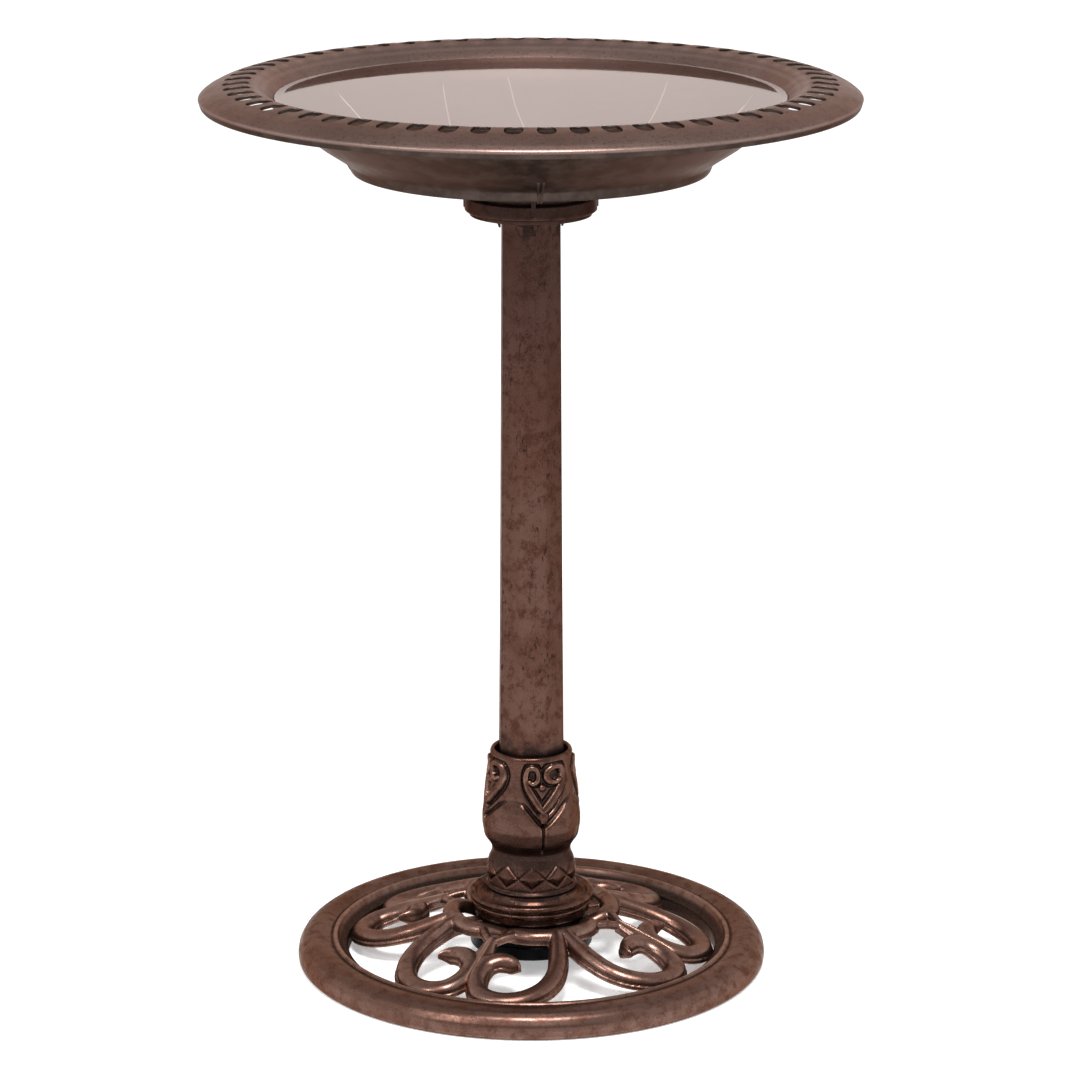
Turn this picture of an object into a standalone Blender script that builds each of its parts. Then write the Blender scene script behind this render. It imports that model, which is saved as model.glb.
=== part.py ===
"""Pedestal bird bath: a slotted basin that lifts off a fluted column on an openwork scroll base.

Metres, +Z up. The base ring stands on Z = 0 and the column is on the Z axis. The front faces -Y.
A plan position is written as (radius, bearing), where bearing 0 is the front and grows to the right.
"""

import math

import bmesh
import bpy
from mathutils import Matrix, Vector

MM = 0.001
GAP = 0.0003

# Overall sizes
BASIN_RADIUS = 0.254
BASE_RADIUS = 0.188
BASIN_CREST_Z = 0.711

# Basin
RIM_SLOTS = 60
SLOT_CENTRE_RADIUS = 0.225
SLOT_LENGTH = 0.0205
SLOT_WIDTH = 0.0138
SEAT_PLANE_Z = 0.632
SPIGOT_RADIUS = 0.042
SPIGOT_FOOT_Z = 0.6070
FOOT_RIB_RADIUS = 0.132

# Seat collar
COLLAR_RADIUS = 0.052
COLLAR_RIM_Z = 0.622
COLLAR_FLOOR_Z = 0.6017
GUSSET_REACH = 0.041
GUSSET_DROP = 0.0125
COLLAR_TURN = 7.8

# Column
FLUTES = 8
FLUTE_DEPTH = 0.0019
COLUMN_TOP_RADIUS = 0.0241
COLUMN_FOOT_RADIUS = 0.0279
COLUMN_BORE = 0.0195
COLUMN_FOOT_Z = 0.1203
COLUMN_TOP_Z = COLLAR_FLOOR_Z - GAP
COLUMN_TURN = 4.7

# Urn and its flange
URN_SHELF_Z = 0.116
URN_FOOT_Z = 0.040

# Tie rod and its hardware
ROD_RADIUS = 0.004
ROD_HOLE = ROD_RADIUS + GAP
ROD_FOOT_Z = 0.0145
ROD_TOP_Z = 0.6175
NUT_ACROSS_FLATS = 0.013

# Base
BASE_TURN = 21.0
CELLS = 4
RING_BORE = 0.1476
CARRIER_RADIUS = 0.044
CARRIER_FLANGE_RADIUS = 0.049
CARRIER_FLANGE_TOP_Z = 0.0270
CARRIER_FLANGE_FOOT_Z = 0.0235
SCREW_RADIUS = 0.0015
SCREW_CENTRE_RADIUS = 0.0465
KNOB_RADIUS = 0.049
KNOB_FOOT_Z = 0.012
KNOB_TOP_Z = CARRIER_FLANGE_FOOT_Z - GAP


def clear_scene():
    for old in list(bpy.data.objects):
        bpy.data.objects.remove(old, do_unlink=True)


def make_material(name, colour, roughness, metallic):
    material = bpy.data.materials.new(name)
    material.use_nodes = True
    shader = material.node_tree.nodes["Principled BSDF"]
    shader.inputs["Base Color"].default_value = (*colour, 1.0)
    shader.inputs["Roughness"].default_value = roughness
    shader.inputs["Metallic"].default_value = metallic
    return material


def plan(radius, bearing, z=0.0):
    """The point at this radius and bearing in degrees, seen from above."""
    angle = math.radians(bearing)
    return Vector((radius * math.sin(angle), -radius * math.cos(angle), z))


def between(value, table):
    """Straight-line reading of a short (input, output) table."""
    if value <= table[0][0]:
        return table[0][1]
    for (low, at_low), (high, at_high) in zip(table, table[1:]):
        if value <= high:
            return at_low + (at_high - at_low) * (value - low) / (high - low)
    return table[-1][1]


def place(name, bm, material):
    """Turns a bmesh into a smooth-shaded object with outward faces."""
    bmesh.ops.recalc_face_normals(bm, faces=bm.faces)
    mesh = bpy.data.meshes.new(name)
    bm.to_mesh(mesh)
    bm.free()
    for face in mesh.polygons:
        face.use_smooth = True
    piece = bpy.data.objects.new(name, mesh)
    piece.data.materials.append(material)
    bpy.context.collection.objects.link(piece)
    return piece


def revolve(profile_mm, steps):
    """Turns an (r, z) outline in millimetres about Z. An outline that meets the axis is open there."""
    bm = bmesh.new()
    rings = []
    for radius, z in profile_mm:
        if radius == 0:
            rings.append([bm.verts.new((0, 0, z * MM))] * steps)
            continue
        points = [plan(radius * MM, 360 * step / steps, z * MM) for step in range(steps)]
        rings.append([bm.verts.new(point) for point in points])
    pairs = list(zip(rings, rings[1:]))
    if profile_mm[0][0] and profile_mm[-1][0]:
        pairs.append((rings[-1], rings[0]))
    for first, second in pairs:
        for step in range(steps):
            after = (step + 1) % steps
            corners = [first[step], first[after], second[after], second[step]]
            bm.faces.new(list(dict.fromkeys(corners)))
    return bm


def loft(sections, bm=None):
    """Skins equal-length closed sections, with a cap at each end."""
    bm = bm or bmesh.new()
    rings = [[bm.verts.new(point) for point in section] for section in sections]
    count = len(rings[0])
    faces = [bm.faces.new(rings[0]), bm.faces.new(list(reversed(rings[-1])))]
    for first, second in zip(rings, rings[1:]):
        for i in range(count):
            after = (i + 1) % count
            faces.append(bm.faces.new((first[i], second[i], second[after], first[after])))
    bmesh.ops.recalc_face_normals(bm, faces=faces)
    return bm


def prism(outline, low_z, high_z, bm=None):
    """Upright solid on a plan outline."""
    return loft([[Vector((x, y, z)) for x, y in outline] for z in (low_z, high_z)], bm)


def disc_outline(radius, sides, centre=(0.0, 0.0)):
    turn = 2 * math.pi / sides
    points = [(radius * math.cos(turn * i), radius * math.sin(turn * i)) for i in range(sides)]
    return [(centre[0] + x, centre[1] + y) for x, y in points]


def helper(name, bm):
    """A Boolean operand, kept out of the model."""
    shape = place(name, bm, helper_material)
    shape.hide_render = True
    shape.display_type = "WIRE"
    return shape


def combine(piece, other, operation, self_crossing=False):
    step = piece.modifiers.new(f"{operation.lower()} {other.name}", "BOOLEAN")
    step.operation = operation
    step.solver = "EXACT"
    step.use_self = self_crossing
    step.object = other


def baked_mesh(piece):
    """The piece's mesh with its modifiers applied."""
    bpy.context.view_layer.update()
    graph = bpy.context.evaluated_depsgraph_get()
    mesh = bpy.data.meshes.new_from_object(piece.evaluated_get(graph))
    for face in mesh.polygons:
        face.use_smooth = True
    return mesh


# ---------------------------------------------------------------- basin


def basin_outline():
    """One thin wall: cone, shoulder, cove, rolled rim and down-turned lip, then back along the inside."""
    rim = BASIN_RADIUS / MM
    crest = BASIN_CREST_Z / MM
    seat = SEAT_PLANE_Z / MM
    spigot = SPIGOT_RADIUS / MM
    spigot_foot = SPIGOT_FOOT_Z / MM
    underside = [
        (spigot - 3.5, seat - 0.2),
        (spigot - 3.5, spigot_foot),
        (spigot, spigot_foot),
        (spigot, seat - 0.2),
        (52, seat),
        (136, seat + 9.4),
        (138.4, seat + 10.6),
        (140.6, seat + 17.2),
        (162, seat + 31.4),
        (182, seat + 46.6),
        (196, seat + 60.0),
        (204, seat + 69.0),
        (213, seat + 75.4),
        (222, seat + 76.6),
        (236, seat + 74.6),
        (247.6, seat + 69.4),
        (251.2, seat + 66.0),
        (250.4, seat + 61.6),
    ]
    top = [
        (rim - 1.4, seat + 61.6),
        (rim, seat + 66.4),
        (rim - 3.4, crest - 8.6),
        (rim - 11, crest - 4.8),
        (rim - 21, crest - 1.6),
        (rim - 35, crest),
        (rim - 43, crest - 1.6),
        (rim - 50, crest - 6.0),
        (197.2, crest - 12.0),
        (194.8, crest - 14.6),
        (181, seat + 50.2),
        (160, seat + 34.6),
        (139, seat + 20.4),
        (130, seat + 13.6),
        (80, seat + 6.2),
        (24, seat + 3.6),
        (23, seat + 5.2),
        (0, seat + 5.2),
    ]
    return [(0, seat - 0.2)] + underside + top


def slot_outline(bearing):
    """Oval slot with round ends, its length along the radius."""
    half_length = SLOT_LENGTH / 2
    half_width = SLOT_WIDTH / 2
    straight = half_length - 0.62 * half_width
    outline = []
    for end in (1, -1):
        for turn in (-70, -24, 24, 70):
            along = end * (straight + 0.62 * half_width * math.cos(math.radians(turn)))
            across = end * half_width * math.sin(math.radians(turn)) / math.sin(math.radians(70))
            outline.append((across, -SLOT_CENTRE_RADIUS - along))
    spin = Matrix.Rotation(math.radians(bearing), 2)
    return [tuple(spin @ Vector(point)) for point in outline]


def foot_rib(bm, bearing):
    """Small wedge rib under the basin's bottom edge."""
    inner = FOOT_RIB_RADIUS - 0.012
    outer = FOOT_RIB_RADIUS + 0.016
    low = between(inner / MM, [(100, 637.4), (136, 641.4)]) * MM - 0.001
    corners = [(inner, low + 0.003), (inner + 0.004, low), (outer, low + 0.0085), (outer, low + 0.0112)]
    sections = []
    for side in (-0.0026, 0.0026):
        offset = plan(side, bearing + 90)
        sections.append([plan(radius, bearing, z) + offset for radius, z in corners])
    loft(sections, bm)


def make_basin():
    basin = place("basin", revolve(basin_outline(), RIM_SLOTS), resin_light)
    ribs = bmesh.new()
    for quarter in range(4):
        foot_rib(ribs, COLUMN_TURN + 90 * quarter)
    combine(basin, helper("rib shapes", ribs), "UNION")
    slots = bmesh.new()
    for slot in range(RIM_SLOTS):
        bearing = 360 * (slot + 0.5) / RIM_SLOTS
        prism(slot_outline(bearing), BASIN_CREST_Z - 0.012, BASIN_CREST_Z + 0.004, slots)
    combine(basin, helper("slot shapes", slots), "DIFFERENCE")


# ---------------------------------------------------------------- seat collar


def make_collar():
    """Open cup that the basin's spigot drops into, on four gussets, with four key ribs."""
    radius = COLLAR_RADIUS / MM
    rim = COLLAR_RIM_Z / MM
    floor = COLLAR_FLOOR_Z / MM
    outline = [
        (ROD_HOLE / MM, floor),
        (40.5, floor),
        (45.5, floor + 3.0),
        (47.7, floor + 3.4),
        (48.2, floor + 6.4),
        (50.2, floor + 7.0),
        (50.8, floor + 9.6),
        (radius, floor + 10.6),
        (radius, rim - 0.8),
        (radius - 0.8, rim),
        (radius - 3.2, rim),
        (radius - 3.8, floor + 9.0),
        (radius - 8.0, floor + 5.0),
        (ROD_HOLE / MM, floor + 4.4),
    ]
    collar = place("seat_collar", revolve(outline, 36), bronze)
    extras = bmesh.new()
    for quarter in range(4):
        bearing = COLLAR_TURN + 90 * quarter
        across = plan(0.0016, bearing + 90)
        gusset = [
            (COLUMN_TOP_RADIUS + 0.0006, COLLAR_FLOOR_Z + 0.0015),
            (COLUMN_TOP_RADIUS + 0.0006, COLLAR_FLOOR_Z - GUSSET_DROP),
            (COLUMN_TOP_RADIUS + 0.0036, COLLAR_FLOOR_Z - GUSSET_DROP),
            (GUSSET_REACH, COLLAR_FLOOR_Z + 0.0015),
        ]
        loft([[plan(r, bearing, z) + side for r, z in gusset] for side in (-across, across)], extras)
        rib = [
            (COLLAR_RADIUS - 0.0020, COLLAR_FLOOR_Z + 0.0115),
            (COLLAR_RADIUS + 0.0012, COLLAR_FLOOR_Z + 0.0125),
            (COLLAR_RADIUS + 0.0012, COLLAR_RIM_Z + 0.0050),
            (COLLAR_RADIUS - 0.0020, COLLAR_RIM_Z + 0.0060),
        ]
        loft([[plan(r, bearing - 3, z) + side for r, z in rib] for side in (-across, across)], extras)
    combine(collar, helper("collar extras", extras), "UNION")


# ---------------------------------------------------------------- column


def fluted_section(radius, z):
    """Closed ring of points with a concave hollow between each pair of ridges."""
    points = []
    per_flute = 6
    for i in range(FLUTES * per_flute):
        across = (i % per_flute) / per_flute
        depth = FLUTE_DEPTH * 4 * across * (1 - across)
        bearing = COLUMN_TURN + 360 / FLUTES * (i / per_flute - 0.5)
        points.append(plan(radius - depth, bearing, z))
    return points


def make_column():
    """Tapered tube, fluted outside and round inside."""
    bm = bmesh.new()
    stations = 6
    outer = []
    for i in range(stations + 1):
        share = i / stations
        z = COLUMN_FOOT_Z + (COLUMN_TOP_Z - COLUMN_FOOT_Z) * share
        radius = COLUMN_FOOT_RADIUS + (COLUMN_TOP_RADIUS - COLUMN_FOOT_RADIUS) * share ** 0.75
        outer.append([bm.verts.new(point) for point in fluted_section(radius, z)])
    count = len(outer[0])
    inner = []
    for z in (COLUMN_TOP_Z, COLUMN_FOOT_Z):
        bore = [plan(COLUMN_BORE, COLUMN_TURN - 22.5 + 360 * i / count, z) for i in range(count)]
        inner.append([bm.verts.new(point) for point in bore])
    rings = outer + inner
    for first, second in zip(rings, rings[1:] + rings[:1]):
        for i in range(count):
            after = (i + 1) % count
            bm.faces.new((first[i], first[after], second[after], second[i]))
    place("column", bm, bronze)


# ---------------------------------------------------------------- urn


def make_urn():
    """Hollow turned urn with its spread foot and rolled flange, open below, with a shelf for the column."""
    shelf = URN_SHELF_Z / MM
    foot = URN_FOOT_Z / MM
    outer = [
        (29.6, 176.4),
        (31.6, 175.2),
        (33.2, 171.8),
        (33.5, 162),
        (34.7, 152),
        (35.8, 142),
        (38.0, 128.5),
        (39.6, 121),
        (39.7, 116),
        (37.7, 105),
        (34.1, 98),
        (31.7, 92.5),
        (31.8, 89.5),
        (34.6, 84.0),
        (35.5, 79.0),
        (35.6, 66.0),
        (36.8, 61.6),
        (38.4, 57.6),
        (43.0, 56.4),
        (46.0, 57.4),
        (48.6, 58.6),
        (50.3, 56.8),
        (50.2, 53.6),
        (48.0, 51.4),
        (46.6, 49.8),
        (48.0, 48.6),
        (48.0, 46.6),
        (46.8, 45.6),
        (46.4, foot),
    ]
    inner = [
        (42.6, foot),
        (42.4, 50),
        (33.2, 55),
        (31.6, 76),
        (28.2, 90),
        (33.4, 107),
        (33.4, shelf - 4),
        (13, shelf - 4),
        (13, shelf),
        (28.7, shelf),
        (28.7, 174.4),
    ]
    place("urn", revolve(outer + inner, 36), bronze)


# ---------------------------------------------------------------- tie rod and fittings


def make_rod_fittings():
    rod = ROD_RADIUS / MM
    hole = ROD_HOLE / MM
    floor = COLLAR_FLOOR_Z / MM + 4.4
    foot, top = ROD_FOOT_Z / MM, ROD_TOP_Z / MM
    shank = [(0, foot), (rod - 0.6, foot), (rod, foot + 0.6), (rod, top - 0.6), (rod - 0.6, top), (0, top)]
    place("tie_rod", revolve(shank, 16), steel)
    washer = [(hole, floor + 0.3), (12, floor + 0.3), (12, floor + 1.9), (hole, floor + 1.9)]
    place("top_washer", revolve(washer, 20), steel)
    low, high = (floor + 2.2) * MM, (floor + 8.7) * MM
    hexagon = disc_outline(NUT_ACROSS_FLATS / math.sqrt(3), 6)
    nut = place("top_nut", prism(hexagon, low, high), steel)
    bore = prism(disc_outline(ROD_HOLE, 16), low - 0.001, high + 0.001)
    combine(nut, helper("nut bore", bore), "DIFFERENCE")


def make_bushes():
    """Plastic plugs that centre the column on the rod at each end."""
    hole = ROD_HOLE / MM
    bore = COLUMN_BORE / MM - 0.3
    top = COLUMN_TOP_Z / MM
    foot = COLUMN_FOOT_Z / MM
    shelf = URN_SHELF_Z / MM
    top_bush = [(hole, top - 22), (bore - 1, top - 22), (bore, top - 21), (bore, top), (hole, top)]
    place("column_top_bush", revolve(top_bush, 24), black_plastic)
    foot_bush = [
        (hole, shelf + 0.3),
        (27.6, shelf + 0.3),
        (27.6, foot - 0.3),
        (bore, foot - 0.3),
        (bore, foot + 17),
        (bore - 1, foot + 18),
        (hole, foot + 18),
    ]
    place("column_foot_bush", revolve(foot_bush, 24), black_plastic)


# ---------------------------------------------------------------- base


def make_ring():
    """Convex rim with a thin bead and a ledge inside, flat underneath."""
    outer = BASE_RADIUS / MM
    bore = RING_BORE / MM
    outline = [
        (bore + 1.6, 0),
        (outer - 2.6, 0),
        (outer - 0.4, 2.6),
        (outer, 6.8),
        (outer - 0.9, 11.6),
        (outer - 4.2, 17.0),
        (outer - 9.0, 20.4),
        (outer - 14.0, 21.6),
        (outer - 19.5, 21.2),
        (outer - 24.5, 19.4),
        (outer - 27.0, 18.4),
        (outer - 28.6, 20.2),
        (outer - 31.0, 20.4),
        (outer - 32.8, 18.6),
        (outer - 34.6, 15.2),
        (bore + 1.2, 13.2),
        (bore, 11.4),
        (bore, 1.6),
    ]
    place("base_ring", revolve(outline, 60), bronze)


def crest_z(radius):
    """Height of the scrollwork's domed top: low under the urn, highest on the loops, low again at the rim."""
    table = [(46, 36.5), (52, 39.4), (64, 44.5), (72, 42.6), (80, 40), (100, 33), (120, 25.5), (150, 15.2)]
    return between(radius / MM, table) * MM


def underside_z(radius):
    """Height of the scrollwork's flat foot."""
    table = [(52, 27.4), (66, 29), (80, 26), (100, 20), (120, 12.4), (150, 3.4)]
    return between(radius / MM, table) * MM


def smooth_path(controls, per_span):
    """Catmull-Rom curve through (radius mm, bearing, half width mm) controls, as (x, y, half width)."""
    points = [Vector((*plan(r * MM, bearing).xy, w * MM)) for r, bearing, w in controls]
    points = [2 * points[0] - points[1]] + points + [2 * points[-1] - points[-2]]
    path = []
    for a, b, c, d in zip(points, points[1:], points[2:], points[3:]):
        for step in range(per_span):
            t = step / per_span
            square = (2 * a - 5 * b + 4 * c - d) * t * t
            cube = (3 * b - a - 3 * c + d) * t ** 3
            path.append(0.5 * (2 * b + (c - a) * t + square + cube))
    return path + [points[-2]]


def half_round_bar(bm, controls, per_span=2, body=0.86):
    """Bar along a plan curve: flat foot, a thin ledge at mid height and a half-round top."""
    path = smooth_path(controls, per_span)
    sections = []
    for i, here in enumerate(path):
        ahead = path[min(i + 1, len(path) - 1)]
        behind = path[max(i - 1, 0)]
        tangent = Vector((ahead.x - behind.x, ahead.y - behind.y, 0)).normalized()
        across = Vector((-tangent.y, tangent.x, 0))
        radius = math.hypot(here.x, here.y)
        half = here.z
        top = crest_z(radius)
        foot = max(underside_z(radius), top - 2.1 * half - 0.004)
        ledge = foot + 0.36 * (top - foot)
        shape = [(-half, foot), (half, foot), (half, ledge)]
        for turn in (18, 90, 162):
            angle = math.radians(turn)
            shape.append((body * half * math.cos(angle), ledge + (top - ledge) * math.sin(angle)))
        shape.append((-half, ledge))
        centre = Vector((here.x, here.y, 0))
        sections.append([centre + across * x + Vector((0, 0, z)) for x, z in shape])
    loft(sections, bm)


ARM = [
    (63, 3.0, 6.2),
    (80, 5.6, 6.6),
    (97, 8.5, 7.0),
    (113, 12.5, 7.4),
    (127, 18.0, 8.0),
    (137, 25.0, 8.6),
    (140, 32.0, 8.8),
    (134, 38.3, 8.2),
    (122, 41.6, 7.4),
    (109.5, 41.6, 6.6),
    (101.5, 37.5, 5.8),
    (100.5, 32.5, 5.0),
    (105, 28.5, 3.6),
    (110, 27.2, 1.6),
]


def mirrored(controls):
    return [(radius, -bearing, half) for radius, bearing, half in controls]


def scroll_cell_mesh():
    """One quarter of the scrollwork: a broad loop, two volute arms, two half stems and a spoke."""
    bm = bmesh.new()
    loop_half = [(45, 42, 5.0), (53, 37.5, 5.8), (61, 30, 6.4), (65.2, 18, 6.6)]
    half_round_bar(bm, loop_half + [(66, 0, 6.6)] + list(reversed(mirrored(loop_half))))
    stay = [(62, 31, 3.6), (70, 38, 3.6), (78.5, 45, 4.4)]
    stem = [(74, 45, 4.6), (84, 45, 5.4), (94, 45, 6.6), (104, 45, 6.0)]
    for side in (list, mirrored):
        half_round_bar(bm, side(ARM))
        half_round_bar(bm, side(stay), 1)
        half_round_bar(bm, side(stem), 1)
    spoke = [(-0.0065, -0.043), (0.0065, -0.043), (0.0065, -0.0625), (-0.0065, -0.0625)]
    prism(spoke, CARRIER_FLANGE_TOP_Z + GAP, 0.0372, bm)
    cell = place("scroll cell", bm, bronze)
    sector = helper("cell limits", sector_solid())
    combine(cell, sector, "INTERSECT", self_crossing=True)
    drill = prism(disc_outline(SCREW_RADIUS + GAP, 8, (0.0, -SCREW_CENTRE_RADIUS)), 0.02, 0.0335)
    combine(cell, helper("cell drill", drill), "DIFFERENCE")
    mesh = baked_mesh(cell)
    bpy.data.objects.remove(cell, do_unlink=True)
    return mesh


def sector_solid():
    """Quarter ring between the carrier and the rim, short of both and of the neighbouring quarters."""
    inner = CARRIER_RADIUS + GAP
    outer = RING_BORE - GAP - 0.0001
    steps = 18
    outline = []
    for radius, order in ((outer, range(steps + 1)), (inner, range(steps, -1, -1))):
        for step in order:
            bearing = -45 + 90 * step / steps
            point = plan(radius, bearing)
            if step == 0:
                point += plan(GAP / 2, 45)
            if step == steps:
                point += plan(GAP / 2, -45)
            outline.append((point.x, point.y))
    return prism(outline, CARRIER_FLANGE_TOP_Z - 0.030, 0.060)


def make_scroll_panels():
    mesh = scroll_cell_mesh()
    for cell in range(CELLS):
        panel = bpy.data.objects.new(f"scroll_panel_{cell + 1}", mesh)
        panel.rotation_euler.z = math.radians(BASE_TURN + 90 * cell)
        bpy.context.collection.objects.link(panel)


def make_carrier():
    """Plastic hub that the four scroll panels are screwed to and the urn stands on."""
    hole = ROD_HOLE / MM
    top = URN_FOOT_Z / MM - 0.3
    flange = CARRIER_FLANGE_RADIUS / MM
    flange_top = CARRIER_FLANGE_TOP_Z / MM
    flange_foot = CARRIER_FLANGE_FOOT_Z / MM
    hub = CARRIER_RADIUS / MM
    outline = [
        (hole, flange_foot),
        (flange, flange_foot),
        (flange, flange_top),
        (hub, flange_top),
        (hub, top),
        (hole, top),
    ]
    carrier = place("base_carrier", revolve(outline, 40), black_plastic)
    drills = bmesh.new()
    for cell in range(CELLS):
        centre = plan(SCREW_CENTRE_RADIUS, BASE_TURN + 90 * cell)
        head = ((flange_foot - 1, 2.9), (flange_foot + 1, 2.9))
        shank = ((flange_foot + 2.2, 1.8), (flange_top + 1, 1.8))
        countersink = []
        for z, radius in head + shank:
            countersink.append([Vector((x, y, z * MM)) for x, y in disc_outline(radius * MM, 8, centre.xy)])
        loft(countersink, drills)
    combine(carrier, helper("carrier drills", drills), "DIFFERENCE")


def make_panel_screws():
    """Countersunk screws, up through the carrier's flange into each panel's spoke."""
    foot = CARRIER_FLANGE_FOOT_Z + GAP
    sizes = ((foot, 0.0026), (foot + 0.0008, 0.0026), (foot + 0.0019, SCREW_RADIUS), (0.0328, SCREW_RADIUS))
    for cell in range(CELLS):
        centre = plan(SCREW_CENTRE_RADIUS, BASE_TURN + 90 * cell)
        sections = []
        for z, radius in sizes:
            sections.append([Vector((x, y, z)) for x, y in disc_outline(radius, 8, centre.xy)])
        place(f"panel_screw_{cell + 1}", loft(sections), steel)


def make_knob():
    """Round hand knob that draws the rod down, with a steel washer in its top."""
    hole = ROD_HOLE / MM
    top = KNOB_TOP_Z / MM
    foot = KNOB_FOOT_Z / MM
    radius = KNOB_RADIUS / MM
    outline = [
        (hole, foot + 1.0),
        (10, foot + 1.0),
        (12, foot),
        (radius - 1.0, foot),
        (radius, foot + 1.0),
        (radius, top - 0.6),
        (radius - 0.6, top),
        (12.3, top),
        (12.3, top - 2.0),
        (hole, top - 2.0),
    ]
    place("clamp_knob", revolve(outline, 40), black_gloss)
    washer = [(hole, top - 1.7), (12, top - 1.7), (12, top - 0.1), (hole, top - 0.1)]
    place("knob_washer", revolve(washer, 20), steel)


clear_scene()
bronze = make_material("bronze resin", (0.16, 0.085, 0.062), 0.42, 0.35)
resin_light = make_material("pale bronze resin", (0.42, 0.31, 0.275), 0.45, 0.15)
black_plastic = make_material("black plastic", (0.018, 0.018, 0.02), 0.5, 0.0)
black_gloss = make_material("gloss black plastic", (0.012, 0.012, 0.013), 0.22, 0.0)
steel = make_material("zinc steel", (0.55, 0.55, 0.54), 0.35, 1.0)
helper_material = make_material("helper", (0.5, 0.5, 0.5), 0.5, 0.0)

make_basin()
make_collar()
make_column()
make_urn()
make_rod_fittings()
make_bushes()
make_ring()
make_scroll_panels()
make_carrier()
make_panel_screws()
make_knob()
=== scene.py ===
"""Pedestal bird bath: a pale slotted basin of water on a fluted bronze column and an openwork scroll base.

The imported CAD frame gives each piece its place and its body. Lengths are in millimetres until a mesh is
made. A plan position is (radius, bearing): bearing 0 is the front, -Y, and it grows to the viewer's right.
"""

import math

import bmesh
import bpy
import numpy as np
from mathutils import Matrix, Vector


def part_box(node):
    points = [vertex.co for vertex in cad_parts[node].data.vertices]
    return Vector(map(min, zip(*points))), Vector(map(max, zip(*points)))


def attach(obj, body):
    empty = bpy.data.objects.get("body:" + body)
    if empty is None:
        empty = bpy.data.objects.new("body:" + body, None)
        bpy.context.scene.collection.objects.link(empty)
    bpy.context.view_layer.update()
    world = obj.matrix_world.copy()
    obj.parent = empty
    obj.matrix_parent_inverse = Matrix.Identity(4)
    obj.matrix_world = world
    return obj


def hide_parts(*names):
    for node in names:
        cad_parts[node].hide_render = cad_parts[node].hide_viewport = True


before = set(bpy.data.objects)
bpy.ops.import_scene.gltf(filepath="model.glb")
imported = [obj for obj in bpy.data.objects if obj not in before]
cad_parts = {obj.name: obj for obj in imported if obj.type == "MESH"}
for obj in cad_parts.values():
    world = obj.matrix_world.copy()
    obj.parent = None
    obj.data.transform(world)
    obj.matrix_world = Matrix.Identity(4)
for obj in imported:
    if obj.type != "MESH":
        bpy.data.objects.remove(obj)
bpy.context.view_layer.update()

MM = 0.001


def cad_size(node):
    """(outer radius, foot z, top z) of a round CAD node, in millimetres."""
    low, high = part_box(node)
    return high.x / MM, low.z / MM, high.z / MM


# ---------------------------------------------------------------- sizes

RIM_RADIUS, _, CREST = cad_size("basin")
SLOTS = 60
SLOT_RADIUS = 225.0
SLOT_HALF_LENGTH = 10.25
SLOT_HALF_WIDTH = 6.9
SLOT_BAND = (212.0, 238.0)
RIM_STEPS = 360
SEAT = CREST - 79.0
FOOT_RIB_TURN = 2.9
WATER_Z = CREST - 12.7
WATER_RADIUS = 195.9

COLLAR_FLOOR, COLLAR_RIM = 601.7, 622.0
COLLAR_UNDERSIDE = 606.6
COLLAR_RADIUS = 51.2
CUP_CLEARANCE = 5.0
COLLAR_TURN = 7.8

_, COLUMN_FOOT, _ = cad_size("column")
COLUMN_TURN = 4.7
FLUTES = 8
FLUTE_DEPTH = 1.9
COLUMN_BORE = 19.5

_, URN_FOOT, URN_TOP = cad_size("urn")
URN_TURN = 14.5
MOTIFS = 4

RING_RADIUS, _, RING_CREST = cad_size("base_ring")
RING_BORE = 147.6
BASE_TURN = 21.0
HUB_RADIUS = 44.0

KNOB_RADIUS, KNOB_FOOT, KNOB_TOP = cad_size("clamp_knob")
_, CARRIER_FOOT, CARRIER_TOP = cad_size("base_carrier")
CARRIER_FLANGE = 49.0
ROD_HOLE = 4.3


# ---------------------------------------------------------------- curves and meshes


def softened(points, reach, rounds=3):
    """Rounds each corner of an open line. A corner's curve starts at most reach from it."""
    points = np.array(points, float)
    line = [points[0]]
    for before, here, after in zip(points, points[1:], points[2:]):
        for end in (before, here, after):
            span = np.linalg.norm(end - here)
            if span == 0:
                line.append(here)
            else:
                line.append(here + (end - here) * min(reach, 0.49 * span) / span)
    line = np.array(line + [points[-1]])
    for _ in range(rounds):
        cut = np.empty((2 * len(line) - 2, line.shape[1]))
        cut[0::2] = 0.75 * line[:-1] + 0.25 * line[1:]
        cut[1::2] = 0.25 * line[:-1] + 0.75 * line[1:]
        line = np.vstack([line[:1], cut, line[-1:]])
    return line


def spaced(line, gap):
    """The same line with points about gap apart."""
    steps = np.linalg.norm(np.diff(line, axis=0), axis=1)
    along = np.concatenate([[0], np.cumsum(steps)])
    count = max(2, int(round(along[-1] / gap)) + 1)
    wanted = np.linspace(0, along[-1], count)
    return np.stack([np.interp(wanted, along, column) for column in line.T], axis=1)


def flowing(controls, per_span):
    """Catmull-Rom curve through rows of numbers."""
    rows = np.array(controls, float)
    rows = np.vstack([2 * rows[0] - rows[1], rows, 2 * rows[-1] - rows[-2]])
    path = []
    for a, b, c, d in zip(rows, rows[1:], rows[2:], rows[3:]):
        for t in np.arange(per_span) / per_span:
            square = (2 * a - 5 * b + 4 * c - d) * t * t
            cube = (3 * b - a - 3 * c + d) * t**3
            path.append(0.5 * (2 * b + (c - a) * t + square + cube))
    return np.array(path + [rows[-2]])


def plan(radius, bearing, z):
    """Points for arrays of radius, bearing in degrees and height."""
    angle = np.radians(bearing)
    return np.stack(np.broadcast_arrays(radius * np.sin(angle), -radius * np.cos(angle), z), axis=-1)


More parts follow.
